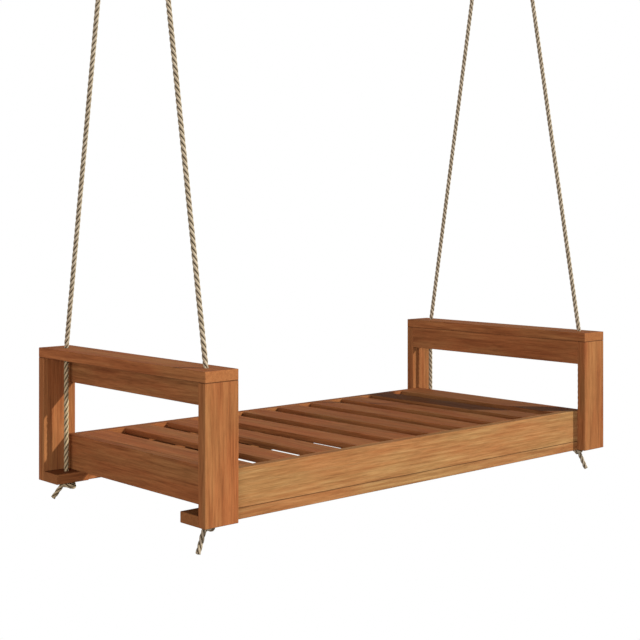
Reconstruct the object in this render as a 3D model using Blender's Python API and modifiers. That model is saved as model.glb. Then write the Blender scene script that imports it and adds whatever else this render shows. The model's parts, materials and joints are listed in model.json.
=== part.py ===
"""Rope-hung swing bed: a slatted platform between two end frames, four ropes, and the shackles and
eye plates that hang them from a ceiling.

Metres, +Z up, +X along the bed to its right end, +Y towards its rear. The origin is the middle of the
four ceiling plates' top faces, the plane that everything hangs from.
"""

import math

import bmesh
import bpy
from mathutils import Matrix, Vector

# ---------------------------------------------------------------- driving dimensions

HANG_HEIGHT = 2.400  # from the bed's underside up to the ceiling
LENGTH = 2.204
DEPTH = 1.067
HEIGHT = 0.513
GAP = 0.0003  # between pieces that touch
EASED_EDGE = 0.0015

BOARD = 0.038  # thickness of every structural board
FRAME_WIDTH = 0.140
APRON_HEIGHT = 0.099
RAIL_HEIGHT = 0.1345
BOTTOM_BOARD_WIDTH = 0.089
BLOCK_LENGTH = 0.100
SLAT_COUNT = 10
SLAT_WIDTH = 0.122
SLAT_THICKNESS = 0.022
WIDE_SLAT_GAPS = (0, 1, 2, 8)  # the gaps between slats that are wider, counted from the left
WIDE_SLAT_GAP = 0.084

ROPE_RADIUS = 0.0085
ROPE_HOLE_RADIUS = 0.0115
RIGHT_HOLE_SHIFT = 0.009  # the right frame's holes are drilled this far outwards of its middle
ROPE_SLOPE = 0.172  # inwards per metre of height, above the caps
ROPE_CLEARANCE = 0.003  # each side of the bend where a rope leaves its cap
NECK_LENGTH = 0.028
NECK_CLEARANCE = 0.002  # from the rope that turns on the bend to the rope fixed below it
KNOT_SIZE = (0.048, 0.044, 0.034)

PLATE_SIZE = (0.080, 0.060, 0.006)
PIN_DROP = 0.030  # from the ceiling down to the shackle pins
EYE_INNER_RADIUS = 0.013
EYE_WIRE_RADIUS = 0.0045
PIN_RADIUS = 0.005
PIN_HEAD_RADIUS = 0.008
PIN_HEAD_LENGTH = 0.006
JAW_INSIDE = 0.009  # from the middle to each lug's inner face
LUG_WIDTH = 0.0105
LUG_RADIUS = 0.010
BOW_DROP = 0.026  # from the pin down to the bow's centre
BOW_INNER_RADIUS = 0.015
BOW_WIRE_RADIUS = 0.005
THIMBLE_INNER_RADIUS = 0.014
THIMBLE_WALL = 0.0012
SEIZING_TOP = 0.120  # from the pin down to the seizing
SEIZING_LENGTH = 0.055
SEIZING_WALL = 0.0025
ROPE_BEND_END = 0.315  # from the pin down to where the rope runs straight
LEG_OFFSET = 0.0088  # from the eye's middle line to each rope leg in the seizing

# ---------------------------------------------------------------- worked-out places

UNDERSIDE = -HANG_HEIGHT
RAIL_TOP = UNDERSIDE + BOARD + RAIL_HEIGHT
CAP_TOP = UNDERSIDE + HEIGHT
CLEAR_LENGTH = LENGTH - 2 * FRAME_WIDTH
CLEAR_DEPTH = DEPTH - 2 * BOARD
FRAME_X = (LENGTH - FRAME_WIDTH) / 2
INNER_BOARD_X = (CLEAR_LENGTH + BOARD) / 2
HOLE_Y = (CLEAR_DEPTH - BLOCK_LENGTH) / 2
ROPE_X = {-1: -FRAME_X, 1: FRAME_X + RIGHT_HOLE_SHIFT}

LEAN = math.atan(ROPE_SLOPE)
PIN_TO_CAP = (-PIN_DROP - CAP_TOP) / math.cos(LEAN)
PIN_Y = HOLE_Y - PIN_TO_CAP * math.sin(LEAN)
EYE_ROPE_RADIUS = THIMBLE_INNER_RADIUS + THIMBLE_WALL + GAP + ROPE_RADIUS
EYE_CENTRE = BOW_DROP + BOW_INNER_RADIUS - GAP + THIMBLE_INNER_RADIUS

SIDES = {"left": -1, "right": 1}
ENDS = {"front": -1, "rear": 1}
CORNERS = [(f"{end}_{side}", SIDES[side], ENDS[end]) for end in ENDS for side in SIDES]

# Where each rope's tail ends, from the middle of its hole at the block's underside.
TAIL_ENDS = {"front": (0.040, -0.010, -0.102), "rear": (0.051, 0.013, -0.064)}

# ---------------------------------------------------------------- scene, materials, helpers


def start_scene():
    for obj in list(bpy.data.objects):
        bpy.data.objects.remove(obj, do_unlink=True)
    for name in ("swing_bed", "cutters"):
        collection = bpy.data.collections.new(name)
        bpy.context.scene.collection.children.link(collection)


def make_material(name, colour, roughness, metallic=0.0):
    material = bpy.data.materials.new(name)
    material.use_nodes = True
    shader = material.node_tree.nodes["Principled BSDF"]
    shader.inputs["Base Color"].default_value = (*colour, 1)
    shader.inputs["Roughness"].default_value = roughness
    shader.inputs["Metallic"].default_value = metallic
    return material


def add_object(name, data, material, collection="swing_bed"):
    obj = bpy.data.objects.new(name, data)
    bpy.data.collections[collection].objects.link(obj)
    if material:
        data.materials.clear()
        data.materials.append(material)
    return obj


def box_mesh(name, size):
    mesh = bpy.data.meshes.new(name)
    shape = bmesh.new()
    bmesh.ops.create_cube(shape, size=1)
    bmesh.ops.scale(shape, vec=size, verts=shape.verts)
    shape.to_mesh(mesh)
    shape.free()
    return mesh


def cylinder_mesh(name, radius, length, segments=16, axis="Z"):
    mesh = bpy.data.meshes.new(name)
    shape = bmesh.new()
    turn = Matrix.Rotation(math.pi / 2, 4, "Y") if axis == "X" else Matrix()
    bmesh.ops.create_cone(
        shape, cap_ends=True, segments=segments, radius1=radius, radius2=radius, depth=length, matrix=turn
    )
    shape.to_mesh(mesh)
    shape.free()
    return mesh


def shade_round(mesh, angle=math.radians(40)):
    mesh.shade_smooth()
    mesh.set_sharp_from_angle(angle=angle)


def tube_curve(name, points, radius, resolution=2):
    curve = bpy.data.curves.new(name, "CURVE")
    curve.dimensions = "3D"
    curve.bevel_depth = radius
    curve.bevel_resolution = resolution
    curve.use_fill_caps = True
    spline = curve.splines.new("POLY")
    spline.points.add(len(points) - 1)
    for spline_point, place in zip(spline.points, points):
        spline_point.co = (*place, 1)
    return curve


def mesh_from_curve(name, curve):
    """A closed mesh of the curve's tube, with its caps welded on."""
    guide = add_object(name + "_guide", curve, None, "cutters")
    bpy.context.view_layer.update()
    mesh = bpy.data.meshes.new_from_object(guide.evaluated_get(bpy.context.evaluated_depsgraph_get()))
    mesh.name = name
    bpy.data.objects.remove(guide, do_unlink=True)
    shape = bmesh.new()
    shape.from_mesh(mesh)
    bmesh.ops.remove_doubles(shape, verts=shape.verts, dist=1e-5)
    bmesh.ops.recalc_face_normals(shape, faces=shape.faces)
    shape.to_mesh(mesh)
    shape.free()
    return mesh


def add_helper(name, mesh, place):
    """A hidden object for Boolean modifiers, at this matrix."""
    helper = add_object(name, mesh, None, "cutters")
    helper.matrix_world = place
    helper.hide_render = True
    helper.display_type = "WIRE"
    return helper


def combine(obj, helper, operation):
    modifier = obj.modifiers.new(helper.name, "BOOLEAN")
    modifier.operation = operation
    modifier.object = helper
    modifier.solver = "EXACT"


def move_to(x=0.0, y=0.0, z=0.0):
    return Matrix.Translation((x, y, z))


# ---------------------------------------------------------------- boards


def add_board(name, size, centre, material):
    """A board that keeps half the gap on every side, with eased edges."""
    obj = add_object(name, box_mesh(name, [s - GAP for s in size]), material)
    obj.location = centre
    bevel = obj.modifiers.new("eased_edges", "BEVEL")
    bevel.width = EASED_EDGE
    bevel.segments = 1
    return obj


def drill(obj, x, y, z, length):
    """A plumb rope hole through the board at this place."""
    mesh = cylinder_mesh(obj.name + "_hole", ROPE_HOLE_RADIUS, length, segments=20)
    count = len(obj.modifiers)
    combine(obj, add_helper(f"{obj.name}_hole_{count}", mesh, move_to(x, y, z)), "DIFFERENCE")


def add_end_frame(side, direction, wood):
    cap_z = CAP_TOP - BOARD / 2
    cap = add_board(f"frame_cap_{side}", (FRAME_WIDTH, DEPTH, BOARD), (direction * FRAME_X, 0, cap_z), wood)
    for end in ENDS.values():
        drill(cap, ROPE_X[direction], end * HOLE_Y, cap_z, 2 * BOARD)

    inner_x = direction * INNER_BOARD_X
    apron_z = CAP_TOP - BOARD - APRON_HEIGHT / 2
    add_board(f"apron_{side}", (BOARD, CLEAR_DEPTH, APRON_HEIGHT), (inner_x, 0, apron_z), wood)
    end_board_z = UNDERSIDE + BOARD + RAIL_HEIGHT / 2
    add_board(f"end_board_{side}", (BOARD, CLEAR_DEPTH, RAIL_HEIGHT), (inner_x, 0, end_board_z), wood)


def add_corner_boards(corner, side, end, wood):
    post_height = HEIGHT - BOARD
    add_board(
        f"upright_{corner}",
        (FRAME_WIDTH, BOARD, post_height),
        (side * FRAME_X, end * (DEPTH - BOARD) / 2, UNDERSIDE + post_height / 2),
        wood,
    )
    block_z = UNDERSIDE + BOARD / 2
    block = add_board(
        f"rope_block_{corner}",
        (FRAME_WIDTH, BLOCK_LENGTH, BOARD),
        (side * FRAME_X, end * HOLE_Y, block_z),
        wood,
    )
    drill(block, ROPE_X[side], end * HOLE_Y, block_z, 2 * BOARD)


def add_long_boards(end, direction, wood):
    rail_y = direction * (CLEAR_DEPTH - BOARD) / 2
    rail_z = UNDERSIDE + BOARD + RAIL_HEIGHT / 2
    add_board(f"rail_{end}", (CLEAR_LENGTH, BOARD, RAIL_HEIGHT), (0, rail_y, rail_z), wood)

    bottom_y = direction * (CLEAR_DEPTH - BOTTOM_BOARD_WIDTH) / 2
    bottom_z = UNDERSIDE + BOARD / 2
    size = (CLEAR_LENGTH, BOTTOM_BOARD_WIDTH, BOARD)
    add_board(f"bottom_board_{end}", size, (0, bottom_y, bottom_z), wood)

    cleat_y = rail_y - direction * BOARD
    cleat_z = RAIL_TOP - SLAT_THICKNESS - BOARD / 2
    add_board(f"slat_cleat_{end}", (CLEAR_LENGTH, BOARD, BOARD), (0, cleat_y, cleat_z), wood)


def add_slats(wood):
    wide_count = len(WIDE_SLAT_GAPS)
    open_length = CLEAR_LENGTH - SLAT_COUNT * SLAT_WIDTH
    narrow_gap = (open_length - wide_count * WIDE_SLAT_GAP) / (SLAT_COUNT - 1 - wide_count)
    size = (SLAT_WIDTH, CLEAR_DEPTH - 2 * BOARD, SLAT_THICKNESS)
    x = (SLAT_WIDTH - CLEAR_LENGTH) / 2
    for number in range(SLAT_COUNT):
        add_board(f"slat_{number + 1:02d}", size, (x, 0, RAIL_TOP - SLAT_THICKNESS / 2), wood)
        x += SLAT_WIDTH + (WIDE_SLAT_GAP if number in WIDE_SLAT_GAPS else narrow_gap)


# ---------------------------------------------------------------- hanging hardware
# Each corner's hardware is modelled about its shackle pin, with +Z up along the rope.


def eye_arc(centre_z, radius, open_angle, steps):
    """Points over the top of an eye in the YZ plane, from its -Y side to its +Y side."""
    first, last = math.pi + open_angle, -open_angle
    angles = [first + (last - first) * step / steps for step in range(steps + 1)]
    return [(0, radius * math.cos(a), centre_z + radius * math.sin(a)) for a in angles]


def closing_angle():
    """The angle at which a rope leg leaves the eye to meet the seizing."""
    reach = math.hypot(SEIZING_TOP - EYE_CENTRE, LEG_OFFSET)
    return math.asin(EYE_ROPE_RADIUS / reach) - math.atan2(LEG_OFFSET, SEIZING_TOP - EYE_CENTRE)


def add_ceiling_plate(corner, side, end, steel):
    obj = add_object(f"ceiling_plate_{corner}", box_mesh("ceiling_plate", PLATE_SIZE), steel)
    obj.location = (ROPE_X[side], end * PIN_Y, -PLATE_SIZE[2] / 2)
    bevel = obj.modifiers.new("eased_edges", "BEVEL")
    bevel.width = EASED_EDGE
    bevel.segments = 1

    wire_radius = EYE_INNER_RADIUS + EYE_WIRE_RADIUS
    centre_z = EYE_INNER_RADIUS - PIN_RADIUS - GAP
    root_z = PIN_DROP - PLATE_SIZE[2] / 2
    steps = 12
    angles = [math.pi * (1 + step / steps) for step in range(steps + 1)]
    points = [(0, wire_radius * math.cos(a), centre_z + wire_radius * math.sin(a)) for a in angles]
    points = [(0, -wire_radius, root_z), *points, (0, wire_radius, root_z)]
    mesh = mesh_from_curve("plate_eye", tube_curve("plate_eye", points, EYE_WIRE_RADIUS))
    eye = add_helper(f"plate_eye_{corner}", mesh, move_to(ROPE_X[side], end * PIN_Y, -PIN_DROP))
    combine(obj, eye, "UNION")


def add_shackle(corner, place, steel):
    bow_radius = BOW_INNER_RADIUS + BOW_WIRE_RADIUS
    lug_x = JAW_INSIDE + LUG_WIDTH / 2
    steps = 10
    spread = math.radians(18)  # how far above its centre the bow's arc begins
    angles = [math.pi - spread + (math.pi + 2 * spread) * step / steps for step in range(steps + 1)]
    arc = [(bow_radius * math.cos(a), 0, bow_radius * math.sin(a) - BOW_DROP) for a in angles]
    neck = [(lug_x, 0, -0.3 * LUG_RADIUS), (lug_x, 0, -1.1 * LUG_RADIUS)]
    points = [(-x, y, z) for x, y, z in neck] + arc + neck[::-1]
    mesh = mesh_from_curve("shackle", tube_curve("shackle", points, BOW_WIRE_RADIUS))
    obj = add_object(f"shackle_{corner}", mesh, steel)
    obj.matrix_world = place
    for name, x in (("lug_a", -lug_x), ("lug_b", lug_x)):
        lug = cylinder_mesh(name, LUG_RADIUS, LUG_WIDTH, axis="X")
        combine(obj, add_helper(f"{name}_{corner}", lug, place @ move_to(x)), "UNION")
    bore = cylinder_mesh("pin_bore", PIN_RADIUS + GAP, 2 * (lug_x + LUG_WIDTH), axis="X")
    combine(obj, add_helper(f"pin_bore_{corner}", bore, place), "DIFFERENCE")
    shade_round(obj.data)


def add_shackle_pin(corner, place, steel):
    half = JAW_INSIDE + LUG_WIDTH + 0.002
    pin = cylinder_mesh("shackle_pin", PIN_RADIUS, 2 * half, axis="X")
    obj = add_object(f"shackle_pin_{corner}", pin, steel)
    obj.matrix_world = place
    head_x = JAW_INSIDE + LUG_WIDTH + GAP + PIN_HEAD_LENGTH / 2
    head = cylinder_mesh("pin_head", PIN_HEAD_RADIUS, PIN_HEAD_LENGTH, segments=6, axis="X")
    combine(obj, add_helper(f"pin_head_{corner}", head, place @ move_to(head_x)), "UNION")
    shade_round(obj.data)


def thimble_profile(steps=6):
    """A flat U whose inside fits the rope, open away from the eye."""
    outer = ROPE_RADIUS + GAP + THIMBLE_WALL
    inner = ROPE_RADIUS + GAP
    reach = math.radians(80)
    angles = [-reach + 2 * reach * step / steps for step in range(steps + 1)]
    points = [(outer * math.sin(a), outer * math.cos(a)) for a in angles]
    points += [(inner * math.sin(a), inner * math.cos(a)) for a in reversed(angles)]
    curve = bpy.data.curves.new("thimble_profile", "CURVE")
    curve.dimensions = "2D"
    spline = curve.splines.new("POLY")
    spline.points.add(len(points) - 1)
    spline.use_cyclic_u = True
    for spline_point, place in zip(spline.points, points):
        spline_point.co = (*place, 0, 1)
    return curve


def add_thimble(corner, place, profile, steel):
    angle = closing_angle()
    arc = eye_arc(-EYE_CENTRE, EYE_ROPE_RADIUS, angle, steps=12)
    tip_offset = ROPE_RADIUS + THIMBLE_WALL + 4 * GAP
    tip_z = -SEIZING_TOP + (tip_offset - LEG_OFFSET) / math.tan(angle)
    points = [(0, -tip_offset, tip_z), *arc, (0, tip_offset, tip_z)]
    curve = tube_curve("thimble", points, 0)
    curve.bevel_mode = "OBJECT"
    curve.bevel_object = profile
    mesh = mesh_from_curve("thimble", curve)
    obj = add_object(f"thimble_{corner}", mesh, steel)
    obj.matrix_world = place
    shade_round(obj.data)


def add_seizing(corner, place, twine):
    """A sleeve of twine round both rope legs: a stadium outline with a stadium hole."""
    curve = bpy.data.curves.new("rope_seizing", "CURVE")
    curve.dimensions = "2D"
    curve.fill_mode = "BOTH"
    curve.extrude = SEIZING_LENGTH / 2
    for radius in (ROPE_RADIUS + GAP + SEIZING_WALL, ROPE_RADIUS + GAP):
        spline = curve.splines.new("POLY")
        steps = 8
        turns = [math.pi * step / steps for step in range(steps + 1)]
        upper = [(radius * math.cos(a), LEG_OFFSET + radius * math.sin(a)) for a in turns]
        points = upper + [(-x, -y) for x, y in upper]
        spline.points.add(len(points) - 1)
        spline.use_cyclic_u = True
        for spline_point, outline_place in zip(spline.points, points):
            spline_point.co = (*outline_place, 0, 1)
    mesh = mesh_from_curve("rope_seizing", curve)
    obj = add_object(f"rope_seizing_{corner}", mesh, twine)
    obj.matrix_world = place @ move_to(z=-SEIZING_TOP - SEIZING_LENGTH / 2)
    shade_round(obj.data)


# ---------------------------------------------------------------- ropes


def add_upper_rope(corner, place, end, fibre):
    """From the cap up to the seizing, round the thimble, and back down to its short end."""
    seizing_bottom = SEIZING_TOP + SEIZING_LENGTH
    bend = ROPE_BEND_END - seizing_bottom
    spacing = 6 * ROPE_RADIUS
    bottom = -PIN_TO_CAP + ROPE_CLEARANCE
    straight = -ROPE_BEND_END - bottom
    count = round(straight / spacing)
    points = [(0, 0, bottom + straight * step / count) for step in range(count + 1)]
    points += [
        (0, -0.16 * LEG_OFFSET, -ROPE_BEND_END + 0.25 * bend),
        (0, -0.50 * LEG_OFFSET, -ROPE_BEND_END + 0.50 * bend),
        (0, -0.84 * LEG_OFFSET, -ROPE_BEND_END + 0.75 * bend),
        (0, -LEG_OFFSET, -seizing_bottom),
        (0, -LEG_OFFSET, -SEIZING_TOP - 0.5 * SEIZING_LENGTH),
        (0, -LEG_OFFSET, -SEIZING_TOP),
    ]
    points += eye_arc(-EYE_CENTRE, EYE_ROPE_RADIUS, closing_angle(), steps=12)
    points += [
        (0, LEG_OFFSET, -SEIZING_TOP),
        (0, LEG_OFFSET, -seizing_bottom),
        (0, 1.25 * LEG_OFFSET, -seizing_bottom - 0.015),
    ]
    points = [(x, -end * y, z) for x, y, z in points]
    obj = add_object(f"rope_upper_{corner}", tube_curve("rope_upper", points, ROPE_RADIUS), fibre)
    obj.matrix_world = place


def add_lower_rope(corner, side, end, top_drop, fibre):
    """From inside the cap's hole down through the block, with its stopper knot and tail."""
    knot_centre = -GAP - KNOT_SIZE[2] / 2
    top = HEIGHT - top_drop
    spacing = 6 * ROPE_RADIUS
    count = round(top / spacing)
    points = [(0, 0, top * (1 - step / count)) for step in range(count + 1)]
    x, y, z = TAIL_ENDS["front" if end < 0 else "rear"]
    tail_end = Vector((side * x, y, z))
    turn = Vector((0, 0, 2 * knot_centre))
    start = Vector((0, 0, knot_centre))
    for share in (0.25, 0.5, 0.75, 1.0):
        points.append(start.lerp(turn, share).lerp(turn.lerp(tail_end, share), share))
    mesh = mesh_from_curve("rope_lower", tube_curve("rope_lower", points, ROPE_RADIUS))
    place = move_to(ROPE_X[side], end * HOLE_Y, UNDERSIDE)
    obj = add_object(f"rope_lower_{corner}", mesh, fibre)
    obj.matrix_world = place

    knot = bpy.data.meshes.new("stopper_knot")
    shape = bmesh.new()
    bmesh.ops.create_uvsphere(shape, u_segments=12, v_segments=8, radius=0.5)
    bmesh.ops.scale(shape, vec=KNOT_SIZE, verts=shape.verts)
    shape.to_mesh(knot)
    shape.free()
    helper = add_helper(f"stopper_knot_{corner}", knot, place @ move_to(z=knot_centre))
    combine(obj, helper, "UNION")
    shade_round(obj.data)


def add_rope_neck(fibre):
    """The stretch of the front left rope inside the cap's hole, where it bends as the bed tilts."""
    mesh = cylinder_mesh("rope_neck", ROPE_RADIUS, NECK_LENGTH)
    obj = add_object("rope_neck_front_left", mesh, fibre)
    middle = CAP_TOP - ROPE_CLEARANCE - NECK_LENGTH / 2
    obj.location = (-FRAME_X, -HOLE_Y, middle)
    shade_round(obj.data)


# ---------------------------------------------------------------- the whole bed


def main():
    start_scene()
    wood = make_material("stained_wood", (0.36, 0.15, 0.06), 0.55)
    slat_wood = make_material("slat_wood", (0.30, 0.13, 0.05), 0.55)
    fibre = make_material("rope_fibre", (0.60, 0.51, 0.30), 0.85)
    twine = make_material("seizing_twine", (0.45, 0.36, 0.20), 0.9)
    steel = make_material("galvanised_steel", (0.55, 0.56, 0.57), 0.38, 1.0)

    for side, direction in SIDES.items():
        add_end_frame(side, direction, wood)
    for end, direction in ENDS.items():
        add_long_boards(end, direction, wood)
    add_slats(slat_wood)

    profile = add_object("thimble_profile", thimble_profile(), None, "cutters")
    profile.hide_render = True
    profile.display_type = "WIRE"
    for corner, side, end in CORNERS:
        add_corner_boards(corner, side, end, wood)
        add_ceiling_plate(corner, side, end, steel)
        lean = Matrix.Rotation(end * LEAN, 4, "X")
        place = move_to(ROPE_X[side], end * PIN_Y, -PIN_DROP) @ lean
        add_shackle(corner, place, steel)
        add_shackle_pin(corner, place, steel)
        add_thimble(corner, place, profile, steel)
        add_seizing(corner, place, twine)
        add_upper_rope(corner, place, end, fibre)
        neck_length = NECK_LENGTH if corner == "front_left" else 0
        add_lower_rope(corner, side, end, ROPE_CLEARANCE + neck_length + NECK_CLEARANCE, fibre)
    add_rope_neck(fibre)


main()
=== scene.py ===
"""Rope-hung swing bed: its finished look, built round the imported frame.

Metres, in the frame's own axes: +Z up, +X along the bed to its right end, +Y towards its rear.
"""

import json
import math

import bmesh
import bpy
import numpy as np
from mathutils import Matrix, Vector


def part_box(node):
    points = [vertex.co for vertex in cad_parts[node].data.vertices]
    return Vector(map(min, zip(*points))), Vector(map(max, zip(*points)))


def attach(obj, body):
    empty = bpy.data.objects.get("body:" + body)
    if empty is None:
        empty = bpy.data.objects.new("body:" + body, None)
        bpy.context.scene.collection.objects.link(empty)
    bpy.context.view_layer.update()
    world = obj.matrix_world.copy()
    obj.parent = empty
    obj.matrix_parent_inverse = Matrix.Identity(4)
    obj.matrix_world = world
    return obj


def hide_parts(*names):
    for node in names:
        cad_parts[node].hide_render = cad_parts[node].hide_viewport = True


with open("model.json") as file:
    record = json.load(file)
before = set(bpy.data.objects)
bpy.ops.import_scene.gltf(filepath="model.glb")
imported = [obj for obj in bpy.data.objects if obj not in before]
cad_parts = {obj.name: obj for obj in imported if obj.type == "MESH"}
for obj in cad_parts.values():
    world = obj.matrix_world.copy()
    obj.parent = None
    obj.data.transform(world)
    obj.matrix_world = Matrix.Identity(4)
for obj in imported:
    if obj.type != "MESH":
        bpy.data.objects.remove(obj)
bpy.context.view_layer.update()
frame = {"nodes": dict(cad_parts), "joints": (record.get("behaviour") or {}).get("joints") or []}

# ---------------------------------------------------------------- sizes

# A rope's strands are drawn at 1.09 of its radius on their crests and 0.55 of it in their grooves.
ROPE_RADIUS = 0.0085
UPPER_ROPE_RADIUS = 0.0089
ROPE_LAY = 0.073  # length of one full turn of a strand
ROPE_STEP = 0.004
LOWER_ROPE_STEP = 0.003
CAP_BEND_DEPTH = 0.006  # how far the upper ropes reach into the caps' holes
HOLE_SQUEEZE = 0.26  # the share of its thickness that an upper rope loses in a hole's mouth
SQUEEZE_LENGTH = 0.018
LOWER_ROPE_GAP = 0.005  # from a cap's top down to the lower rope's top, to clear the upper rope
NECK_ROPE_GAP = 0.033  # the same at the front left, where the rope neck comes between
NECK_TOP_GAP = 0.004
SEIZING_TOP = 0.120  # distances down from the shackle's pin, along the rope
SEIZING_LENGTH = 0.055
SEIZING_BOTTOM = SEIZING_TOP + SEIZING_LENGTH
ROPE_BEND_END = 0.315
EYE_CENTRE = 0.0547
EYE_ROPE_RADIUS = 0.024
LEG_OFFSET = 0.0088
TWINE_RADIUS = 0.00125
PIN_RADIUS = 0.005
BOW_DROP = 0.026
BOW_RADIUS = 0.020
WIRE_RADIUS = 0.005
LUG_RADIUS = 0.010
LUG_INSIDE = 0.009
LUG_WIDTH = 0.0105
PLATE_EYE_RADIUS = 0.0175
PLATE_EYE_WIRE = 0.0045
PLATE_THICKNESS = 0.006
PLATE_CORNER = 0.008
RUNNING_GAP = 0.0003  # between pieces that turn in or lie against each other
SCREW_PLACE = (0.030, 0.020)  # the lag screws' places from a plate's middle
SHARP_ANGLE = math.radians(40)

SIDES = {"left": -1, "right": 1}
ENDS = {"front": -1, "rear": 1}
# Which way each rope's strands turn: 1 is a right-handed helix.
STRAND_TURN = {"front_left": -1, "front_right": 1, "rear_left": 1, "rear_right": -1}
# From the middle of the hole at the block's underside, x outwards: how far each knot sits off it, how its
# rope leaves it, in rope diameters, and where the tail ends.
KNOTS = {
    "front_left": (
        (-0.0024, -0.0022),
        ((-0.25, 0.35, -1.50), (0.45, 0.15, -1.95)),
        (0.0405, -0.010, -0.0985),
    ),
    "front_right": (
        (-0.0110, 0.0040),
        ((-0.55, 0.35, -1.50), (0.05, 0.10, -1.95)),
        (0.0315, -0.010, -0.1000),
    ),
    "rear_left": (
        (-0.0075, -0.0068),
        ((0.15, 0.50, -1.05), (0.90, 0.70, -1.30)),
        (0.0505, 0.0135, -0.0610),
    ),
    "rear_right": (
        (-0.0030, -0.0040),
        ((0.00, 0.45, -1.40), (0.80, 0.40, -1.80)),
        (0.0490, 0.0100, -0.0700),
    ),
}

# How far two of the lower ropes sit off their holes' middles, pressed against the holes' sides. The front
# right one's crests go up to 1.5 mm into the wood, which shows at the holes' mouths in a close-up.
HOLE_BEARING = {"front_right": (0.0026, -0.0023, 0), "rear_right": (-0.0019, 0.0017, 0)}


def corner_places():
    """Each corner's name, signs, shackle pin, and where its rope leaves the cap and the block."""
    pins = {joint["child"]: Vector(joint["pos_m"]) for joint in frame["joints"]}
    places = []
    for end_name, end in ENDS.items():
        for side_name, side in SIDES.items():
            corner = f"{end_name}_{side_name}"
            low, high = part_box(f"rope_block_{corner}")
            pin = pins[f"shackle_{corner}"]
            y = (low[1] + high[1]) / 2
            cap_top = Vector((pin.x, y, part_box(f"frame_cap_{side_name}")[1][2]))
            block_under = Vector((pin.x, y, low[2]))
            places.append((corner, side, end, pin, cap_top, block_under))
    return places


CORNERS = corner_places()

# ---------------------------------------------------------------- helpers


def add_mesh(name, vertices, faces, uvs=None):
    """A mesh object; uvs holds one pair for each face corner, in order."""
    mesh = bpy.data.meshes.new(name)
    mesh.from_pydata([tuple(v) for v in vertices], [], faces)
    if uvs is not None:
        mesh.uv_layers.new(name="uv").data.foreach_set("uv", np.asarray(uvs, float).ravel())
    mesh.shade_smooth()
    obj = bpy.data.objects.new(name, mesh)
    bpy.context.scene.collection.objects.link(obj)
    return obj


def finish_piece(obj, body, slot, material, *nodes):
    """Paints a piece, puts it on its body, and hides the CAD nodes that it stands for."""
    obj.data.materials.clear()
    obj.data.materials.append(material)
    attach(obj, body)
    if nodes:
        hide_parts(*nodes)
    return obj


def smooth_line(route, step):
    """Points about a step apart on a smooth curve through the route's points."""
    knots = np.array([tuple(p) for p in route], float)
    padded = np.vstack([2 * knots[0] - knots[1], knots, 2 * knots[-1] - knots[-2]])
    share = np.linspace(0, 1, 16, endpoint=False)[:, None]
    pieces = []
    for a, b, c, d in zip(padded, padded[1:], padded[2:], padded[3:]):
        cubic = 3 * b - a - 3 * c + d
        square = 2 * a - 5 * b + 4 * c - d
        pieces.append((2 * b + (c - a) * share + square * share**2 + cubic * share**3) / 2)
    line = np.vstack([*pieces, knots[-1:]])
    along = np.concatenate([[0], np.cumsum(np.linalg.norm(np.diff(line, axis=0), axis=1))])
    at = np.linspace(0, along[-1], round(along[-1] / step) + 1)
    return np.stack([np.interp(at, along, line[:, axis]) for axis in range(3)], axis=1)


def frames_along(line, first_normal=(1, 0, 0)):
    """Tangent, normal and binormal at each point, without twist."""
    tangents = np.gradient(line, axis=0)
    tangents /= np.linalg.norm(tangents, axis=1)[:, None]
    normals = np.empty_like(tangents)
    normal = np.array(first_normal, float)
    for index, tangent in enumerate(tangents):
        normal = normal - tangent * (normal @ tangent)
        normal /= np.linalg.norm(normal)
        normals[index] = normal
    return tangents, normals, np.cross(tangents, normals)


def tube_faces(rings, sides):
    """Quads round a tube, and a fan at each end onto two more vertices."""
    faces = []
    for ring in range(rings - 1):
        for side in range(sides):
            here, there = ring * sides, (ring + 1) * sides
            after = (side + 1) % sides
            faces.append((here + side, here + after, there + after, there + side))
    start, end, last = rings * sides, rings * sides + 1, (rings - 1) * sides
    for side in range(sides):
        after = (side + 1) % sides
        faces.append((start, after, side))
        faces.append((end, last + side, last + after))
    return faces


# ---------------------------------------------------------------- camera

LENS = 70.19
CAMERA_FROM_CORNER = Vector((-2.4492, -3.2472, 1.0043))  # from the bed's lowest front left corner
CAMERA_HEADING = math.radians(-42.289)  # from +Y, turned about +Z
CAMERA_SHIFT = -0.15525


def add_camera():
    corner = Vector(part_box("upright_front_left")[0])
    camera = bpy.data.objects.new("camera", bpy.data.cameras.new("camera"))
    bpy.context.scene.collection.objects.link(camera)
    camera.location = corner + CAMERA_FROM_CORNER
    camera.rotation_euler = (math.pi / 2, 0, CAMERA_HEADING)
    camera.data.lens = LENS
    camera.data.sensor_width = 36
    camera.data.shift_y = CAMERA_SHIFT
    camera.data.clip_end = 60
    bpy.context.scene.camera = camera


# ---------------------------------------------------------------- ropes

LOBE_STEPS = 8
LOBE_CENTRE, LOBE_DEPTH, LOBE_WIDTH = 0.59, 0.50, 0.61  # one strand's oval, for a rope of radius 1
LOBE_TURN = math.radians(128.9)  # round the oval from a strand's crest to its groove


def strand_outline():
    """Polar angles and radii of one strand's outer side, up to the next strand's first point."""
    turn = np.linspace(-LOBE_TURN, LOBE_TURN, LOBE_STEPS + 1)[:-1]
    outwards = LOBE_CENTRE + LOBE_DEPTH * np.cos(turn)
    sideways = LOBE_WIDTH * np.sin(turn)
    return np.arctan2(sideways, outwards), np.hypot(outwards, sideways)


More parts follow.
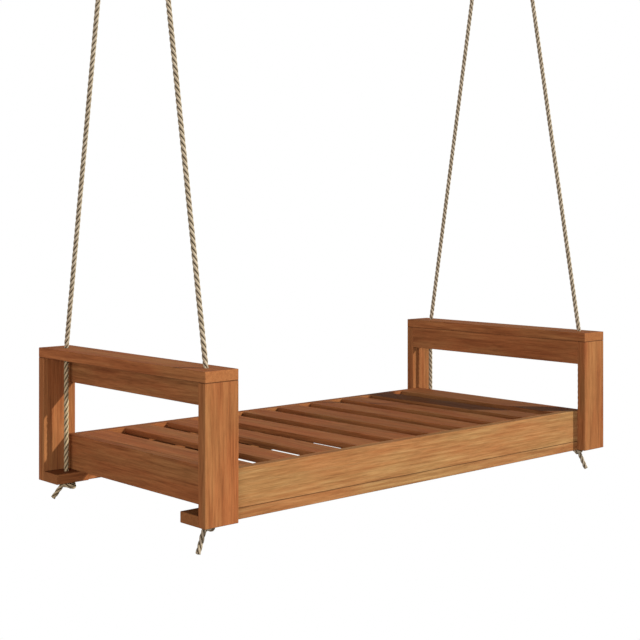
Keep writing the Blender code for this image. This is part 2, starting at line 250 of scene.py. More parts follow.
def laid_rope(name, line, turn, squeeze=0.0, radius=UPPER_ROPE_RADIUS):
    """Three strands laid round the line, squeezed thinner by that share where it starts.

    Its UVs count strands along the rope and across each strand.
    """
    angles, radii = strand_outline()
    angles = np.concatenate([angles + 2 * math.pi * strand / 3 for strand in range(3)])
    radii = np.tile(radii, 3) * radius
    sides = len(angles)
    along = np.concatenate([[0], np.cumsum(np.linalg.norm(np.diff(line, axis=0), axis=1))])
    tangents, normals, binormals = frames_along(line)
    twist = turn * 2 * math.pi * along / ROPE_LAY
    place = angles[None, :] + twist[:, None]
    offsets = np.cos(place)[..., None] * normals[:, None] + np.sin(place)[..., None] * binormals[:, None]
    thinner = 1 - squeeze * np.clip(1 - along / SQUEEZE_LENGTH, 0, 1)
    rings = line[:, None] + offsets * radii[None, :, None] * thinner[:, None, None]
    dome = 0.25 * radius
    tips = np.array([line[0] - tangents[0] * dome, line[-1] + tangents[-1] * dome])
    vertices = np.vstack([rings.reshape(-1, 3), tips])

    strands_along = 3 * turn * along / ROPE_LAY
    across = (np.arange(sides) % LOBE_STEPS) / LOBE_STEPS
    next_across = across + 1 / LOBE_STEPS
    uvs = []
    for ring in range(len(line) - 1):
        u, v = strands_along[ring], strands_along[ring + 1]
        for side in range(sides):
            uvs += [(u, across[side]), (u, next_across[side]), (v, next_across[side]), (v, across[side])]
    for side in range(sides):
        for u in (strands_along[0], strands_along[-1]):
            uvs += [(u, 0.5), (u, across[side]), (u, next_across[side])]
    return add_mesh(name, vertices, tube_faces(len(line), sides), uvs)


def eye_points():
    """The rope's way over the thimble, from one leg to the other, about the shackle's pin."""
    reach = math.hypot(SEIZING_TOP - EYE_CENTRE, LEG_OFFSET)
    closing = math.asin(EYE_ROPE_RADIUS / reach) - math.atan2(LEG_OFFSET, SEIZING_TOP - EYE_CENTRE)
    steps = 12
    angles = [math.pi + closing - (math.pi + 2 * closing) * step / steps for step in range(steps + 1)]
    return [(0, EYE_ROPE_RADIUS * math.cos(a), -EYE_CENTRE + EYE_ROPE_RADIUS * math.sin(a)) for a in angles]


def upper_rope_line(end, pin, cap_top):
    """From just inside the cap's hole, up to the seizing, round the eye and back to the short end."""
    length = (pin - cap_top).length
    heights = -length - CAP_BEND_DEPTH + np.linspace(0, 1, 20) * (length - ROPE_BEND_END)
    straight = [(0, 0, height) for height in heights]
    bend = ROPE_BEND_END - SEIZING_BOTTOM
    route = straight + [
        (0, -0.16 * LEG_OFFSET, -ROPE_BEND_END + 0.25 * bend),
        (0, -0.50 * LEG_OFFSET, -ROPE_BEND_END + 0.50 * bend),
        (0, -0.84 * LEG_OFFSET, -ROPE_BEND_END + 0.75 * bend),
        (0, -LEG_OFFSET, -SEIZING_BOTTOM),
        (0, -LEG_OFFSET, -SEIZING_TOP - 0.5 * SEIZING_LENGTH),
        (0, -LEG_OFFSET, -SEIZING_TOP),
        *eye_points(),
        (0, LEG_OFFSET, -SEIZING_TOP),
        (0, LEG_OFFSET, -SEIZING_TOP - 0.5 * SEIZING_LENGTH),
        (0, LEG_OFFSET, -SEIZING_BOTTOM),
        (0, 1.25 * LEG_OFFSET, -SEIZING_BOTTOM - 0.015),
    ]
    place = hanging_place(end, pin, cap_top)
    return smooth_line([place @ Vector((x, -end * y, z)) for x, y, z in route], ROPE_STEP)


def hanging_place(end, pin, cap_top):
    """The matrix of a corner's hardware: its origin at the pin and its Z up along the rope."""
    up = pin - cap_top
    return Matrix.Translation(pin) @ Matrix.Rotation(end * math.atan2(abs(up.y), up.z), 4, "X")


def add_upper_rope(corner, end, pin, cap_top, material):
    line = upper_rope_line(end, pin, cap_top)
    rope = laid_rope(f"laid_rope_{corner}", line, STRAND_TURN[corner], HOLE_SQUEEZE)
    return finish_piece(rope, f"rope_{corner}", "rope_fibre", material, f"rope_upper_{corner}"), line


def knot_route(corner, side):
    """An overhand stopper knot under the block and the tail below it, from the hole's lower mouth."""
    (off_x, off_y), leaving, tail_end = KNOTS[corner]
    entry = [(0, 0, 0.8), (0, 0, -0.2)]
    turns = [
        (0, 0, -0.85),
        (-0.25, -0.25, -1.35),
        (-0.85, -0.55, -1.40),
        (-1.12, -0.20, -0.95),
        (-0.85, 0.60, -0.62),
        (-0.05, 1.02, -0.58),
        (0.85, 0.62, -0.62),
        (1.02, -0.20, -0.72),
        (0.55, -0.92, -0.92),
        (-0.25, -0.95, -1.00),
        (-0.62, -0.30, -1.10),
    ]
    diameter = 2 * ROPE_RADIUS
    route = [Vector(point) * diameter for point in entry]
    route += [Vector(point) * diameter + Vector((off_x, off_y, 0)) for point in turns]
    route += [Vector(point) * diameter for point in leaving]
    tail_end = Vector(tail_end)
    route += [route[-1].lerp(tail_end, 0.5), tail_end]
    return [Vector((side * p.x, p.y, p.z)) for p in route]


def add_lower_rope(corner, side, cap_top, block_under, material):
    gap = NECK_ROPE_GAP if corner == "front_left" else LOWER_ROPE_GAP
    top = cap_top.z - block_under.z - gap
    route = [Vector((0, 0, top + (2 * ROPE_RADIUS - top) * share)) for share in np.linspace(0, 1, 12)]
    route += knot_route(corner, side)
    bearing = Vector(HOLE_BEARING.get(corner, (0, 0, 0)))
    line = smooth_line([block_under + bearing + p for p in route], LOWER_ROPE_STEP)
    rope = laid_rope(f"knotted_rope_{corner}", line, STRAND_TURN[corner], radius=ROPE_RADIUS)
    return finish_piece(rope, "bed", "rope_fibre", material, f"rope_lower_{corner}")


def add_rope_neck(material):
    low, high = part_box("rope_neck_front_left")
    x, y = (low[0] + high[0]) / 2, (low[1] + high[1]) / 2
    heights = (low[2], (low[2] + high[2]) / 2, high[2] - NECK_TOP_GAP)
    line = smooth_line([(x, y, height) for height in heights], ROPE_STEP)
    neck = laid_rope("laid_rope_neck", line, STRAND_TURN["front_left"])
    finish_piece(neck, "rope_neck", "rope_fibre", material, "rope_neck_front_left")


def add_seizing(corner, place, material):
    """Close turns of twine round both legs of the eye."""
    turns = round(SEIZING_LENGTH / (2 * TWINE_RADIUS))
    steps = 28
    radius = ROPE_RADIUS + RUNNING_GAP + TWINE_RADIUS
    straight = 2 * LEG_OFFSET
    around = 2 * straight + 2 * math.pi * radius
    points = []
    for step in range(turns * steps + 1):
        distance = (step / steps % 1) * around
        z = -SEIZING_BOTTOM + TWINE_RADIUS + (SEIZING_LENGTH - 2 * TWINE_RADIUS) * step / (turns * steps)
        if distance < straight:
            x, y = radius, distance - LEG_OFFSET
        elif distance < straight + math.pi * radius:
            angle = (distance - straight) / radius
            x, y = radius * math.cos(angle), LEG_OFFSET + radius * math.sin(angle)
        elif distance < 2 * straight + math.pi * radius:
            x, y = -radius, LEG_OFFSET - (distance - straight - math.pi * radius)
        else:
            angle = math.pi + (distance - 2 * straight - math.pi * radius) / radius
            x, y = radius * math.cos(angle), -LEG_OFFSET + radius * math.sin(angle)
        points.append(place @ Vector((x, y, z)))
    obj = round_bar(f"seizing_twine_{corner}", points, TWINE_RADIUS, sides=6)
    return finish_piece(obj, f"rope_{corner}", "seizing_twine", material, f"rope_seizing_{corner}")


# ---------------------------------------------------------------- hardware


def round_bar(name, points, radius, sides=16):
    """A round bar through the points."""
    line = np.array([tuple(p) for p in points], float)
    _, normals, binormals = frames_along(line, first_normal=(0.1, 0.2, 1))
    angles = np.arange(sides) * 2 * math.pi / sides
    across = np.cos(angles)[None, :, None] * normals[:, None]
    offsets = across + np.sin(angles)[None, :, None] * binormals[:, None]
    vertices = np.vstack([(line[:, None] + radius * offsets).reshape(-1, 3), line[:1], line[-1:]])
    return add_mesh(name, vertices, tube_faces(len(line), sides))


def turned(name, profile, place, segments=24):
    """A piece turned about its Z axis from (radius, height) points, at this matrix."""
    shape = bmesh.new()
    ring = [shape.verts.new((radius, 0, height)) for radius, height in profile]
    edges = [shape.edges.new(pair) for pair in zip(ring, ring[1:])]
    bmesh.ops.spin(
        shape,
        geom=ring + edges,
        axis=(0, 0, 1),
        cent=(0, 0, 0),
        angle=2 * math.pi,
        steps=segments,
        use_merge=True,
    )
    bmesh.ops.remove_doubles(shape, verts=shape.verts, dist=1e-6)
    bmesh.ops.recalc_face_normals(shape, faces=shape.faces)
    return shape_object(name, shape, place)


def shape_object(name, shape, place):
    """An object of the bmesh, moved by the matrix, with its sharp edges kept; it frees the bmesh."""
    mesh = bpy.data.meshes.new(name)
    shape.to_mesh(mesh)
    shape.free()
    mesh.transform(place)
    mesh.shade_smooth()
    mesh.set_sharp_from_angle(angle=SHARP_ANGLE)
    obj = bpy.data.objects.new(name, mesh)
    bpy.context.scene.collection.objects.link(obj)
    return obj


def join(name, objects):
    """One object of several; the first keeps the joined mesh."""
    with bpy.context.temp_override(active_object=objects[0], selected_editable_objects=objects):
        bpy.ops.object.join()
    objects[0].name = name
    return objects[0]


def rounded_disc(radius, low, high, edge=0.0008):
    """A profile for turned(): a disc with eased edges."""
    inner = radius - edge
    return [(0, low), (inner, low), (radius, low + edge), (radius, high - edge), (inner, high), (0, high)]


def add_shackle(corner, place, material):
    lug_x = LUG_INSIDE + LUG_WIDTH / 2
    spread = math.radians(18)
    steps = 28
    angles = [math.pi - spread + (math.pi + 2 * spread) * step / steps for step in range(steps + 1)]
    arc = [(BOW_RADIUS * math.cos(a), 0, BOW_RADIUS * math.sin(a) - BOW_DROP) for a in angles]
    neck = [
        (lug_x, 0, -0.3 * LUG_RADIUS),
        (lug_x, 0, -0.8 * LUG_RADIUS),
        (lug_x + 0.0008, 0, -1.2 * LUG_RADIUS),
    ]
    points = [(-x, y, z) for x, y, z in neck] + arc + neck[::-1]
    line = smooth_line(points, 0.002)
    bow = round_bar("bow", [place @ Vector(p) for p in line], WIRE_RADIUS)
    parts = [bow]
    bore = PIN_RADIUS + RUNNING_GAP
    half_lug = LUG_WIDTH / 2
    ring = [(bore, -half_lug), (LUG_RADIUS - 0.001, -half_lug), (LUG_RADIUS, -half_lug + 0.001)]
    ring += [(radius, -height) for radius, height in reversed(ring)] + [ring[0]]
    across = Matrix.Rotation(math.pi / 2, 4, "Y")
    for direction in (-1, 1):
        lug_place = place @ Matrix.Translation((direction * lug_x, 0, 0)) @ across
        parts.append(turned("lug", ring, lug_place))
    shackle = join(f"bow_shackle_{corner}", parts)
    finish_piece(shackle, f"shackle_{corner}", "galvanised_steel", material, f"shackle_{corner}")

    half = LUG_INSIDE + LUG_WIDTH
    shaft = turned("shaft", rounded_disc(PIN_RADIUS, -half - 0.0018, half + 0.003), place @ across)
    collar = turned("collar", rounded_disc(0.0078, half + RUNNING_GAP, half + 0.003), place @ across)
    grip_place = place @ Matrix.Translation((half + 0.0072, 0, 0)) @ Matrix.Rotation(math.pi / 2, 4, "X")
    grip = [(0.0022, -0.0022), (0.0045, -0.0022), (0.0052, -0.0012), (0.0052, 0.0012), (0.0045, 0.0022)]
    grip = turned("grip", grip + [(0.0022, 0.0022), (0.0022, -0.0022)], grip_place)
    pin = join(f"shackle_screw_pin_{corner}", [shaft, collar, grip])
    finish_piece(pin, f"shackle_{corner}", "galvanised_steel", material, f"shackle_pin_{corner}")


def add_ceiling_plate(corner, pin, material):
    low, high = (Vector(c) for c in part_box(f"ceiling_plate_{corner}"))
    centre = Vector((pin.x, pin.y, -PLATE_THICKNESS / 2))
    size = Vector((high.x - low.x, high.y - low.y, PLATE_THICKNESS))
    shape = bmesh.new()
    bmesh.ops.create_cube(shape, size=1)
    bmesh.ops.scale(shape, vec=size, verts=shape.verts)
    corners = [edge for edge in shape.edges if len({v.co.z > 0 for v in edge.verts}) == 2]
    bmesh.ops.bevel(shape, geom=corners, offset=PLATE_CORNER, segments=6, affect="EDGES")
    rims = [edge for edge in shape.edges if len({round(v.co.z, 5) for v in edge.verts}) == 1]
    bmesh.ops.bevel(shape, geom=rims, offset=0.0008, segments=2, affect="EDGES")
    plate = shape_object("plate", shape, Matrix.Translation(centre))

    centre_z = pin.z + PLATE_EYE_RADIUS - PLATE_EYE_WIRE - PIN_RADIUS - RUNNING_GAP
    arc = [
        (pin.x, pin.y + PLATE_EYE_RADIUS * math.cos(a), centre_z + PLATE_EYE_RADIUS * math.sin(a))
        for a in np.linspace(math.pi, 2 * math.pi, 25)
    ]
    root = -PLATE_THICKNESS / 2
    arc = [(pin.x, pin.y - PLATE_EYE_RADIUS, root), *arc, (pin.x, pin.y + PLATE_EYE_RADIUS, root)]
    parts = [plate, round_bar("eye", arc, PLATE_EYE_WIRE)]
    weld = [(0, 0.0032), (PLATE_EYE_WIRE + 0.0002, 0.0032), (PLATE_EYE_WIRE + 0.0016, 0.0018)]
    weld += [(PLATE_EYE_WIRE + 0.0028, 0.0002), (PLATE_EYE_WIRE + 0.0028, -0.001), (0, -0.001)]
    upside_down = Matrix.Rotation(math.pi, 4, "X")
    for direction in (-1, 1):
        foot = Matrix.Translation((pin.x, pin.y + direction * PLATE_EYE_RADIUS, -PLATE_THICKNESS))
        parts.append(turned("weld", weld, foot @ upside_down))
    obj = join(f"eye_plate_{corner}", parts)
    finish_piece(obj, "ceiling_plates", "galvanised_steel", material, f"ceiling_plate_{corner}")

    heads = []
    for x in (-1, 1):
        for y in (-1, 1):
            screw = Vector((pin.x + x * SCREW_PLACE[0], pin.y + y * SCREW_PLACE[1], -PLATE_THICKNESS))
            at = Matrix.Translation(screw) @ upside_down
            washer = turned("washer", rounded_disc(0.0085, -0.0002, 0.0016, 0.0004), at)
            head = turned("head", rounded_disc(0.0068, 0.0014, 0.0062, 0.0007), at, segments=6)
            head.data.shade_flat()
            heads += [washer, head]
    screws = join(f"lag_screws_{corner}", heads)
    finish_piece(screws, "ceiling_plates", "galvanised_steel", material)


# ---------------------------------------------------------------- material nodes


class Nodes:
    """Short calls for building one material's node tree."""

    def __init__(self, name):
        self.material = bpy.data.materials.new(name)
        self.material.use_nodes = True
        self.tree = self.material.node_tree
        self.shader = self.tree.nodes["Principled BSDF"]

    def add(self, kind, settings=None, **inputs):
        """A node; inputs are values or sockets, by name with _ for a space."""
        node = self.tree.nodes.new(kind)
        for key, value in (settings or {}).items():
            setattr(node, key, value)
        for key, value in inputs.items():
            self.put(node.inputs[key.replace("_", " ")], value)
        return node

    def put(self, socket, value):
        if isinstance(value, bpy.types.NodeSocket):
            self.tree.links.new(value, socket)
        else:
            socket.default_value = value

    def maths(self, operation, a, b=0.0, clamp=False):
        node = self.add("ShaderNodeMath", {"operation": operation, "use_clamp": clamp})
        self.put(node.inputs[0], a)
        self.put(node.inputs[1], b)
        return node.outputs[0]

    def ramp(self, value, *stops):
        """A colour ramp through (place, colour) stops."""
        node = self.add("ShaderNodeValToRGB", Fac=value)
        elements = node.color_ramp.elements
        while len(elements) < len(stops):
            elements.new(1)
        for element, (place, colour) in zip(elements, stops):
            element.position = place
            element.color = (*colour, 1) if isinstance(colour, tuple) else (colour, colour, colour, 1)
        return node.outputs[0]

    def mix(self, factor, a, b, blend="MIX"):
        node = self.add("ShaderNodeMix", {"data_type": "RGBA", "blend_type": blend})
        self.put(node.inputs[0], factor)
        self.put(node.inputs[6], (*a, 1) if isinstance(a, tuple) else a)
        self.put(node.inputs[7], (*b, 1) if isinstance(b, tuple) else b)
        return node.outputs[2]

    def noise(self, vector, scale, detail=3.0, roughness=0.55):
        node = self.add(
            "ShaderNodeTexNoise", Vector=vector, Scale=scale, Detail=detail, Roughness=roughness
        )
        return node.outputs["Fac"]

    def shade(self, **inputs):
        for key, value in inputs.items():
            self.put(self.shader.inputs[key.replace("_", " ")], value)
        return self.material


def scaled(nodes, vector, scale):
    """The vector multiplied, axis by axis."""
    node = nodes.add("ShaderNodeVectorMath", {"operation": "MULTIPLY"})
    nodes.put(node.inputs[0], vector)
    nodes.put(node.inputs[1], scale)
    return node.outputs[0]


# ---------------------------------------------------------------- materials

# Across-grain places for each kind of board: the log's middle from the board's, and how wide its rings are.
BOARD_CUTS = {
    "frame_cap": ("Y", (0.09, -0.16), 0.0042),
    "apron": ("Y", (0.20, 0.05), 0.0040),
    "end_board": ("Y", (0.13, 0.02), 0.0050),
    "slat": ("Y", (0.02, -0.10), 0.0048),
    "upright": ("Z", (0.30, 0.10), 0.0036),
    "rope_block": ("X", (0.15, -0.10), 0.0045),
    "rail": ("X", (0.11, -0.030), 0.0062),
    "bottom_board": ("X", (0.24, 0.10), 0.0042),
    "slat_cleat": ("X", (0.10, 0.10), 0.0045),
}
GRAIN_ORDER = {"X": (0, 1, 2), "Y": (1, 0, 2), "Z": (2, 0, 1)}  # along the grain first
STAIN = {
    "light": (0.370, 0.150, 0.050),
    "mid": (0.285, 0.106, 0.0340),
    "dark": (0.185, 0.061, 0.0195),
}
RAIL_STAIN = {
    "light": (0.400, 0.214, 0.080),
    "mid": (0.320, 0.150, 0.0510),
    "dark": (0.225, 0.088, 0.0290),
}
PALE_BOARDS = ("wood_rail_front", "wood_bottom_board_front")
TOP_PAINTED_SHADE = (0.69, 0.66, 0.68)  # painted shade: tops darkened to stand in for the weaker light that falls on them
RED_DRIFT = (1.00, 0.87, 0.85)
YELLOW_DRIFT = (1.00, 1.07, 1.08)
KNOT_COLOUR = (0.060, 0.018, 0.007)
JOINT_COLOUR = (0.050, 0.018, 0.008)
YARNS = 8  # in one strand of rope
ROPE_TINT = (1.0, 0.99, 0.97)
REAR_LEFT_PAINTED_LIGHT = (1.08, 1.00, 0.83)  # painted light: the rear left lower rope is tinted warmer, standing in for warm light on it where it sits in the cap's shade


def board_space(nodes, grain, centre):
    """Object coordinates from the board's centre, turned so that the first runs along the grain."""
    where = nodes.add("ShaderNodeTexCoord").outputs["Object"]
    local = nodes.add("ShaderNodeVectorMath", {"operation": "SUBTRACT"})
    nodes.put(local.inputs[0], where)
    nodes.put(local.inputs[1], centre)
    parts = nodes.add("ShaderNodeSeparateXYZ", Vector=local.outputs[0]).outputs
    turned_in = nodes.add("ShaderNodeCombineXYZ")
    for place, axis in enumerate(GRAIN_ORDER[grain]):
        nodes.put(turned_in.inputs[place], parts[axis])
    return turned_in.outputs[0]


def growth_rings(nodes, space, pith, ring_width, shift):
    """Late wood, 0 to 1, in rings about a log whose middle wanders a little along its length."""
    moved = nodes.add("ShaderNodeVectorMath", {"operation": "ADD"})
    nodes.put(moved.inputs[0], space)
    nodes.put(moved.inputs[1], shift)
    moved = moved.outputs[0]
    bend = nodes.noise(scaled(nodes, moved, (1.3, 6.0, 6.0)), 1.0, detail=2.0)
    ripple = nodes.noise(scaled(nodes, moved, (6.0, 45.0, 45.0)), 1.0, detail=3.0)
    parts = nodes.add("ShaderNodeSeparateXYZ", Vector=space).outputs
    offsets = [nodes.maths("SUBTRACT", parts[axis + 1], pith[axis]) for axis in (0, 1)]
    squares = [nodes.maths("MULTIPLY", offset, offset) for offset in offsets]
    distance = nodes.maths("SQRT", nodes.maths("ADD", *squares))
    distance = nodes.maths("ADD", distance, nodes.maths("MULTIPLY", bend, 0.045))
    distance = nodes.maths("ADD", distance, nodes.maths("MULTIPLY", ripple, 0.0035))
    ring = nodes.maths("FRACT", nodes.maths("DIVIDE", distance, ring_width))
    stops = ((0.0, 0.35), (0.18, 0.0), (0.55, 0.12), (0.86, 0.85), (0.95, 1.0), (1.0, 0.35))
    return nodes.ramp(ring, *stops), moved


def pin_knots(nodes, space):
    """Small knots, 0 to 1, longer along the grain, a few to each board."""
    cells = nodes.add(
        "ShaderNodeTexVoronoi", {"feature": "F1"}, Vector=scaled(nodes, space, (4.0, 15.0, 15.0)), Scale=1.0
    )
    pick = nodes.add("ShaderNodeSeparateColor", Color=cells.outputs["Color"]).outputs[0]
    heart = nodes.ramp(cells.outputs["Distance"], (0.0, 1.0), (0.030, 0.8), (0.065, 0.0))
    return nodes.maths("MULTIPLY", heart, nodes.maths("GREATER_THAN", pick, 0.66))


def joint_lines(nodes, planes):
    """Dark, 0 to 1, in a hairline beside each (axis, place) plane where this board meets another."""
    where = nodes.add("ShaderNodeTexCoord").outputs["Object"]
    parts = nodes.add("ShaderNodeSeparateXYZ", Vector=where).outputs
    total = 0.0
    for axis, place in planes:
        away = nodes.maths("ABSOLUTE", nodes.maths("SUBTRACT", parts[axis], place))
        line = nodes.maths("SUBTRACT", 1.0, nodes.maths("DIVIDE", away, JOINT_LINE), clamp=True)
        total = nodes.maths("MAXIMUM", total, line)
    return total


def wood_material(name, kind, centre, seed, tone, planes):
    """Stained softwood for one board, each cut from another place in the log."""
    nodes = Nodes(name)
    random = np.random.default_rng(seed)
    grain, pith, ring_width = BOARD_CUTS[kind]
    stain = RAIL_STAIN if name in PALE_BOARDS else STAIN
    pith = [place + float(random.uniform(-0.02, 0.02)) for place in pith]
    shift = [float(random.uniform(-9, 9)) for _ in range(3)]
    space = board_space(nodes, grain, centre)
    late_wood, moved = growth_rings(nodes, space, pith, ring_width, shift)

    streaks = nodes.noise(scaled(nodes, moved, (3.6, 80.0, 80.0)), 1.0, detail=4.0, roughness=0.6)
    lines = nodes.noise(scaled(nodes, moved, (5.0, 230.0, 230.0)), 1.0, detail=3.0, roughness=0.6)
    fibres = nodes.noise(scaled(nodes, moved, (22.0, 900.0, 900.0)), 1.0, detail=2.0, roughness=0.6)
    drift = nodes.noise(scaled(nodes, moved, (2.4, 14.0, 14.0)), 1.0, detail=3.0)

    base = nodes.ramp(streaks, (0.25, stain["dark"]), (0.46, stain["mid"]), (0.69, stain["light"]))
    base = nodes.mix(1.0, base, nodes.ramp(drift, (0.38, RED_DRIFT), (0.62, YELLOW_DRIFT)), "MULTIPLY")
    base = nodes.mix(nodes.maths("MULTIPLY", late_wood, 0.22), base, stain["dark"])
    normal = nodes.add("ShaderNodeTexCoord").outputs["Normal"]
    facing = nodes.add("ShaderNodeSeparateXYZ", Vector=normal).outputs
    end_grain = nodes.maths("ABSOLUTE", facing[GRAIN_ORDER[grain][0]])
    rings = nodes.mix(nodes.maths("MULTIPLY", late_wood, 0.55), stain["mid"], stain["dark"])
    rings = nodes.mix(nodes.ramp(streaks, (0.35, 0.0), (0.65, 0.35)), rings, stain["light"])
    base = nodes.mix(nodes.ramp(end_grain, (0.6, 0.0), (0.9, 0.85)), base, rings)
    base = nodes.mix(1.0, base, nodes.ramp(lines, (0.33, 0.86), (0.50, 1.0), (0.66, 1.06)), "MULTIPLY")
    base = nodes.mix(1.0, base, nodes.ramp(fibres, (0.30, 0.72), (0.55, 1.02), (0.75, 1.10)), "MULTIPLY")
    base = nodes.mix(1.0, base, (tone, tone, tone), "MULTIPLY")
    # painted shade on up-facing faces, for the weaker light on tops
    top_shaded = nodes.mix(1.0, base, TOP_PAINTED_SHADE, "MULTIPLY")
    base = nodes.mix(nodes.ramp(facing[2], (0.6, 0.0), (0.9, 1.0)), base, top_shaded)
    base = nodes.mix(nodes.maths("MULTIPLY", pin_knots(nodes, moved), 0.75), base, KNOT_COLOUR)
    base = nodes.mix(nodes.maths("MULTIPLY", joint_lines(nodes, planes), 0.70), base, JOINT_COLOUR)

    fibre_height = nodes.maths("MULTIPLY", fibres, 0.55)
    height = nodes.maths("ADD", fibre_height, nodes.maths("MULTIPLY", late_wood, 0.25))
    bump = nodes.add("ShaderNodeBump", Strength=0.30, Distance=0.0005, Height=height)
    rough = nodes.maths("ADD", 0.55, nodes.maths("MULTIPLY", fibres, 0.22))
    return nodes.shade(
        Base_Color=base, Roughness=rough, Normal=bump.outputs[0], IOR=1.4, Specular_IOR_Level=0.05
    )


def rope_material(name, tint):
    """Natural fibre: yarns that run along the rope, with painted shade between the yarns and where two
    strands meet.
    """
    nodes = Nodes(name)
    coordinates = nodes.add("ShaderNodeTexCoord")
    uv = nodes.add("ShaderNodeSeparateXYZ", Vector=coordinates.outputs["UV"])
    along, across = uv.outputs[0], uv.outputs[1]
    groove = nodes.maths("MULTIPLY", nodes.maths("ABSOLUTE", nodes.maths("SUBTRACT", across, 0.5)), 2.0)
    wander = nodes.noise(coordinates.outputs["Object"], 160.0, detail=2.0)
    yarn = nodes.maths("ADD", nodes.maths("ADD", along, across), nodes.maths("MULTIPLY", wander, 0.12))
    yarn = nodes.maths("SINE", nodes.maths("MULTIPLY", yarn, 2 * math.pi * YARNS))
    yarn = nodes.maths("MULTIPLY_ADD", yarn, 0.5)
    yarn.node.inputs[2].default_value = 0.5  # so that it runs from 0 to 1
    fuzz = nodes.noise(coordinates.outputs["Object"], 900.0, detail=3.0, roughness=0.7)
    patches = nodes.noise(coordinates.outputs["Object"], 22.0, detail=3.0)
    base = nodes.ramp(patches, (0.35, (0.335, 0.268, 0.170)), (0.62, (0.460, 0.385, 0.262)))
    # painted shade between the yarns
    shade_between_yarns = nodes.maths("MULTIPLY", nodes.maths("SUBTRACT", 1.0, yarn), 0.35)
    base = nodes.mix(shade_between_yarns, base, (0.19, 0.128, 0.058))
    base = nodes.mix(nodes.ramp(fuzz, (0.4, 0.0), (0.7, 0.35)), base, (0.62, 0.545, 0.410))
    # painted shade in the grooves where two strands meet
    shadow = nodes.ramp(groove, (0.36, 0.0), (0.66, 0.62), (0.90, 1.0))
    base = nodes.mix(shadow, base, (0.048, 0.031, 0.011))
    base = nodes.mix(1.0, base, tint, "MULTIPLY")
    height = nodes.maths("ADD", nodes.maths("MULTIPLY", yarn, 0.7), nodes.maths("MULTIPLY", fuzz, 0.5))
    bump = nodes.add("ShaderNodeBump", Strength=0.8, Distance=0.0007, Height=height)
    return nodes.shade(Base_Color=base, Roughness=0.9, Normal=bump.outputs[0], Specular_IOR_Level=0.15)


def twine_material():
    nodes = Nodes("seizing_twine")
    where = nodes.add("ShaderNodeTexCoord").outputs["Object"]
    strands = nodes.noise(where, 1200.0, detail=3.0, roughness=0.7)
    stops = ((0.3, (0.13, 0.085, 0.040)), (0.6, (0.40, 0.29, 0.15)), (0.8, (0.55, 0.43, 0.25)))
    base = nodes.ramp(strands, *stops)
    bump = nodes.add("ShaderNodeBump", Strength=0.7, Distance=0.0004, Height=strands)
    return nodes.shade(Base_Color=base, Roughness=0.85, Normal=bump.outputs[0], Specular_IOR_Level=0.2)


def steel_material():
    """Galvanised steel: zinc spangle, duller in its low spots."""
    nodes = Nodes("galvanised_steel")
    where = nodes.add("ShaderNodeTexCoord").outputs["Object"]
    spangle = nodes.add("ShaderNodeTexVoronoi", {"feature": "F1"}, Vector=where, Scale=260.0)
    flake = nodes.add("ShaderNodeSeparateColor", Color=spangle.outputs["Color"]).outputs[0]
    grime = nodes.noise(where, 90.0, detail=4.0)
    base = nodes.ramp(flake, (0.0, (0.36, 0.37, 0.38)), (1.0, (0.56, 0.57, 0.58)))
    base = nodes.mix(nodes.ramp(grime, (0.45, 0.0), (0.75, 0.45)), base, (0.24, 0.235, 0.225))
    rough = nodes.maths("ADD", 0.38, nodes.maths("MULTIPLY", grime, 0.28))
    bump = nodes.add("ShaderNodeBump", Strength=0.25, Distance=0.0003, Height=grime)
    return nodes.shade(Base_Color=base, Metallic=1.0, Roughness=rough, Normal=bump.outputs[0])


# ---------------------------------------------------------------- boards

# How light each kind of board is, and a few boards by their full names.
BOARD_TONES = {
    "frame_cap": 1.08,
    "apron": 0.95,
    "end_board": 0.98,
    "slat": 0.98,
    "slat_cleat": 0.95,
    "rope_block": 0.9,
    "upright": 0.97,
    "apron_right": 0.87,
    "frame_cap_right": 1.0,
    "upright_rear_right": 0.82,
    "upright_rear_left": 0.93,
    "rail_front": 0.97,
    "bottom_board_front": 0.91,
}
FIRST_SLAT_TONE, SLAT_PAINTED_SHADE_STEP = 1.17, 0.036  # painted shade: the slats are darker one by one towards the right, towards the right end frame's shade
TONE_SPREAD = 0.06
TONE_SEED = 1000
JOINT_LINE = 0.0026  # how wide the dark hairline beside a joint is


def joint_planes(kind, low, high):
    """The planes where this kind of board butts against another in plain sight, as (axis, place)."""
    if kind == "frame_cap" or kind == "rail":
        return [(2, low[2])]
    if kind in ("upright", "bottom_board"):
        return [(2, high[2])]
    return []


def paint_boards():
    boards = [name for name in frame["nodes"] if name.startswith(tuple(BOARD_CUTS))]
    for seed, name in enumerate(sorted(boards)):
        kind = max((kind for kind in BOARD_CUTS if name.startswith(kind)), key=len)
        low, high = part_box(name)
        spread = np.random.default_rng(TONE_SEED + seed).uniform(-1, 1) * TONE_SPREAD
        tone = BOARD_TONES.get(name, BOARD_TONES.get(kind, 1.0)) * (1 + spread)
        # painted shade: each slat further right is darker
        if kind == "slat":
            tone *= FIRST_SLAT_TONE - SLAT_PAINTED_SHADE_STEP * int(name[-2:])
        planes = joint_planes(kind, low, high)
        material = wood_material(f"wood_{name}", kind, tuple((low + high) / 2), seed, tone, planes)
        obj = frame["nodes"][name]
        obj.data.materials.clear()
        obj.data.materials.append(material)


# ---------------------------------------------------------------- stage and light

FLOOR_BELOW = 0.45  # under the bed
FLOOR_REACH = 30
KEY_DIRECTION = Vector((-1.0, 1.12, -1.0))
KEY_STRENGTH = 4.95
KEY_SPREAD = math.radians(1.6)
FILL_DIRECTION = Vector((0.80, 0.60, -0.05))
FILL_STRENGTH = 2.72
FILL_SPREAD = math.radians(30)
FILL_COLOUR = (1.0, 0.96, 1.08)
HORIZON_STRENGTH, OVERHEAD_STRENGTH = 0.51, 0.38
HORIZON_TOP, OVERHEAD_START = 0.25, 0.60  # heights, as the sine of the angle over the horizon
FLOOR_BOUNCE = (0.22, 0.22, 0.22, 1)


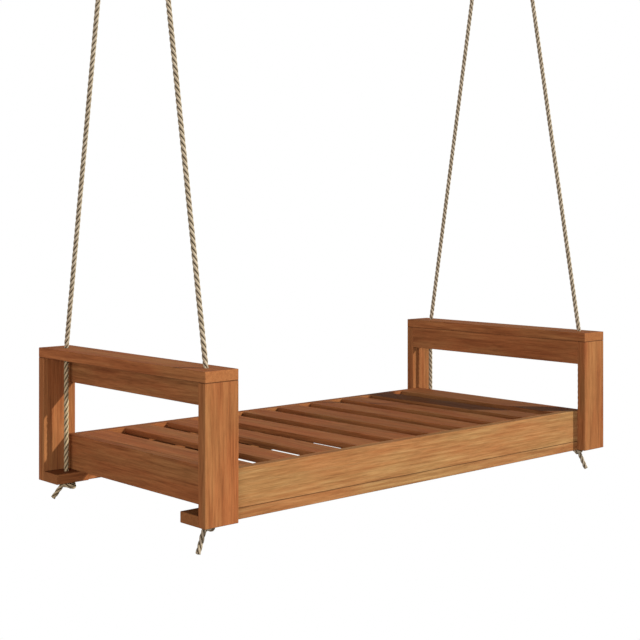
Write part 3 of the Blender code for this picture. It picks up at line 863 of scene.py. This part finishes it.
def add_floor():
    """A pale floor that bounces the light; the white behind it stands for it in the picture."""
    floor_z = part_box("upright_front_left")[0][2] - FLOOR_BELOW
    corners = [(-FLOOR_REACH, -FLOOR_REACH), (FLOOR_REACH, -FLOOR_REACH), (FLOOR_REACH, FLOOR_REACH)]
    corners.append((-FLOOR_REACH, FLOOR_REACH))
    vertices = [(x, y, floor_z) for x, y in corners]
    floor = add_mesh("floor", vertices, [(0, 1, 2, 3)])
    nodes = Nodes("pale_floor")
    floor.data.materials.append(nodes.shade(Base_Color=FLOOR_BOUNCE, Roughness=0.9, Specular_IOR_Level=0.0))
    floor.visible_camera = False


def add_world():
    """White behind the bed; what lights the bed is a band about the horizon, dark overhead."""
    world = bpy.data.worlds.new("studio")
    bpy.context.scene.world = world
    world.use_nodes = True
    tree = world.node_tree
    direction = tree.nodes.new("ShaderNodeTexCoord").outputs["Generated"]
    height = tree.nodes.new("ShaderNodeSeparateXYZ")
    tree.links.new(direction, height.inputs[0])
    band = tree.nodes.new("ShaderNodeMapRange")
    tree.links.new(height.outputs[2], band.inputs["Value"])
    limits = {
        "From Min": HORIZON_TOP,
        "From Max": OVERHEAD_START,
        "To Min": HORIZON_STRENGTH,
        "To Max": OVERHEAD_STRENGTH,
    }
    for name, value in limits.items():
        band.inputs[name].default_value = value
    strength = tree.nodes.new("ShaderNodeMix")
    tree.links.new(tree.nodes.new("ShaderNodeLightPath").outputs["Is Camera Ray"], strength.inputs["Factor"])
    tree.links.new(band.outputs["Result"], strength.inputs["A"])
    strength.inputs["B"].default_value = 1.0
    background = tree.nodes["Background"]
    background.inputs["Color"].default_value = (1, 1, 1, 1)
    tree.links.new(strength.outputs["Result"], background.inputs["Strength"])


def add_sun(name, direction, strength, spread, colour=(1, 1, 1)):
    sun = bpy.data.objects.new(name, bpy.data.lights.new(name, "SUN"))
    bpy.context.collection.objects.link(sun)
    sun.rotation_euler = direction.to_track_quat("-Z", "Y").to_euler()
    sun.data.energy = strength
    sun.data.angle = spread
    sun.data.color = colour


def add_stage():
    add_floor()
    add_world()
    add_sun("key", KEY_DIRECTION, KEY_STRENGTH, KEY_SPREAD)
    add_sun("fill", FILL_DIRECTION, FILL_STRENGTH, FILL_SPREAD, FILL_COLOUR)
    bpy.context.scene.view_settings.view_transform = "Standard"


# ---------------------------------------------------------------- the whole scene


def main():
    add_camera()
    fibre = rope_material("rope_fibre", ROPE_TINT)
    painted_light_fibre = rope_material("rope_fibre_painted_light", REAR_LEFT_PAINTED_LIGHT)
    twine = twine_material()
    steel = steel_material()
    for corner, side, end, pin, cap_top, block_under in CORNERS:
        place = hanging_place(end, pin, cap_top)
        rope, line = add_upper_rope(corner, end, pin, cap_top, fibre)
        seizing = add_seizing(corner, place, twine)
        # the rear left lower rope gets the copy with painted warm light
        lower_fibre = painted_light_fibre if corner == "rear_left" else fibre
        add_lower_rope(corner, side, cap_top, block_under, lower_fibre)
        thimble = frame["nodes"][f"thimble_{corner}"]
        thimble.data.materials.clear()
        thimble.data.materials.append(steel)
        add_shackle(corner, place, steel)
        add_ceiling_plate(corner, pin, steel)
    add_rope_neck(fibre)
    paint_boards()
    add_stage()


main()
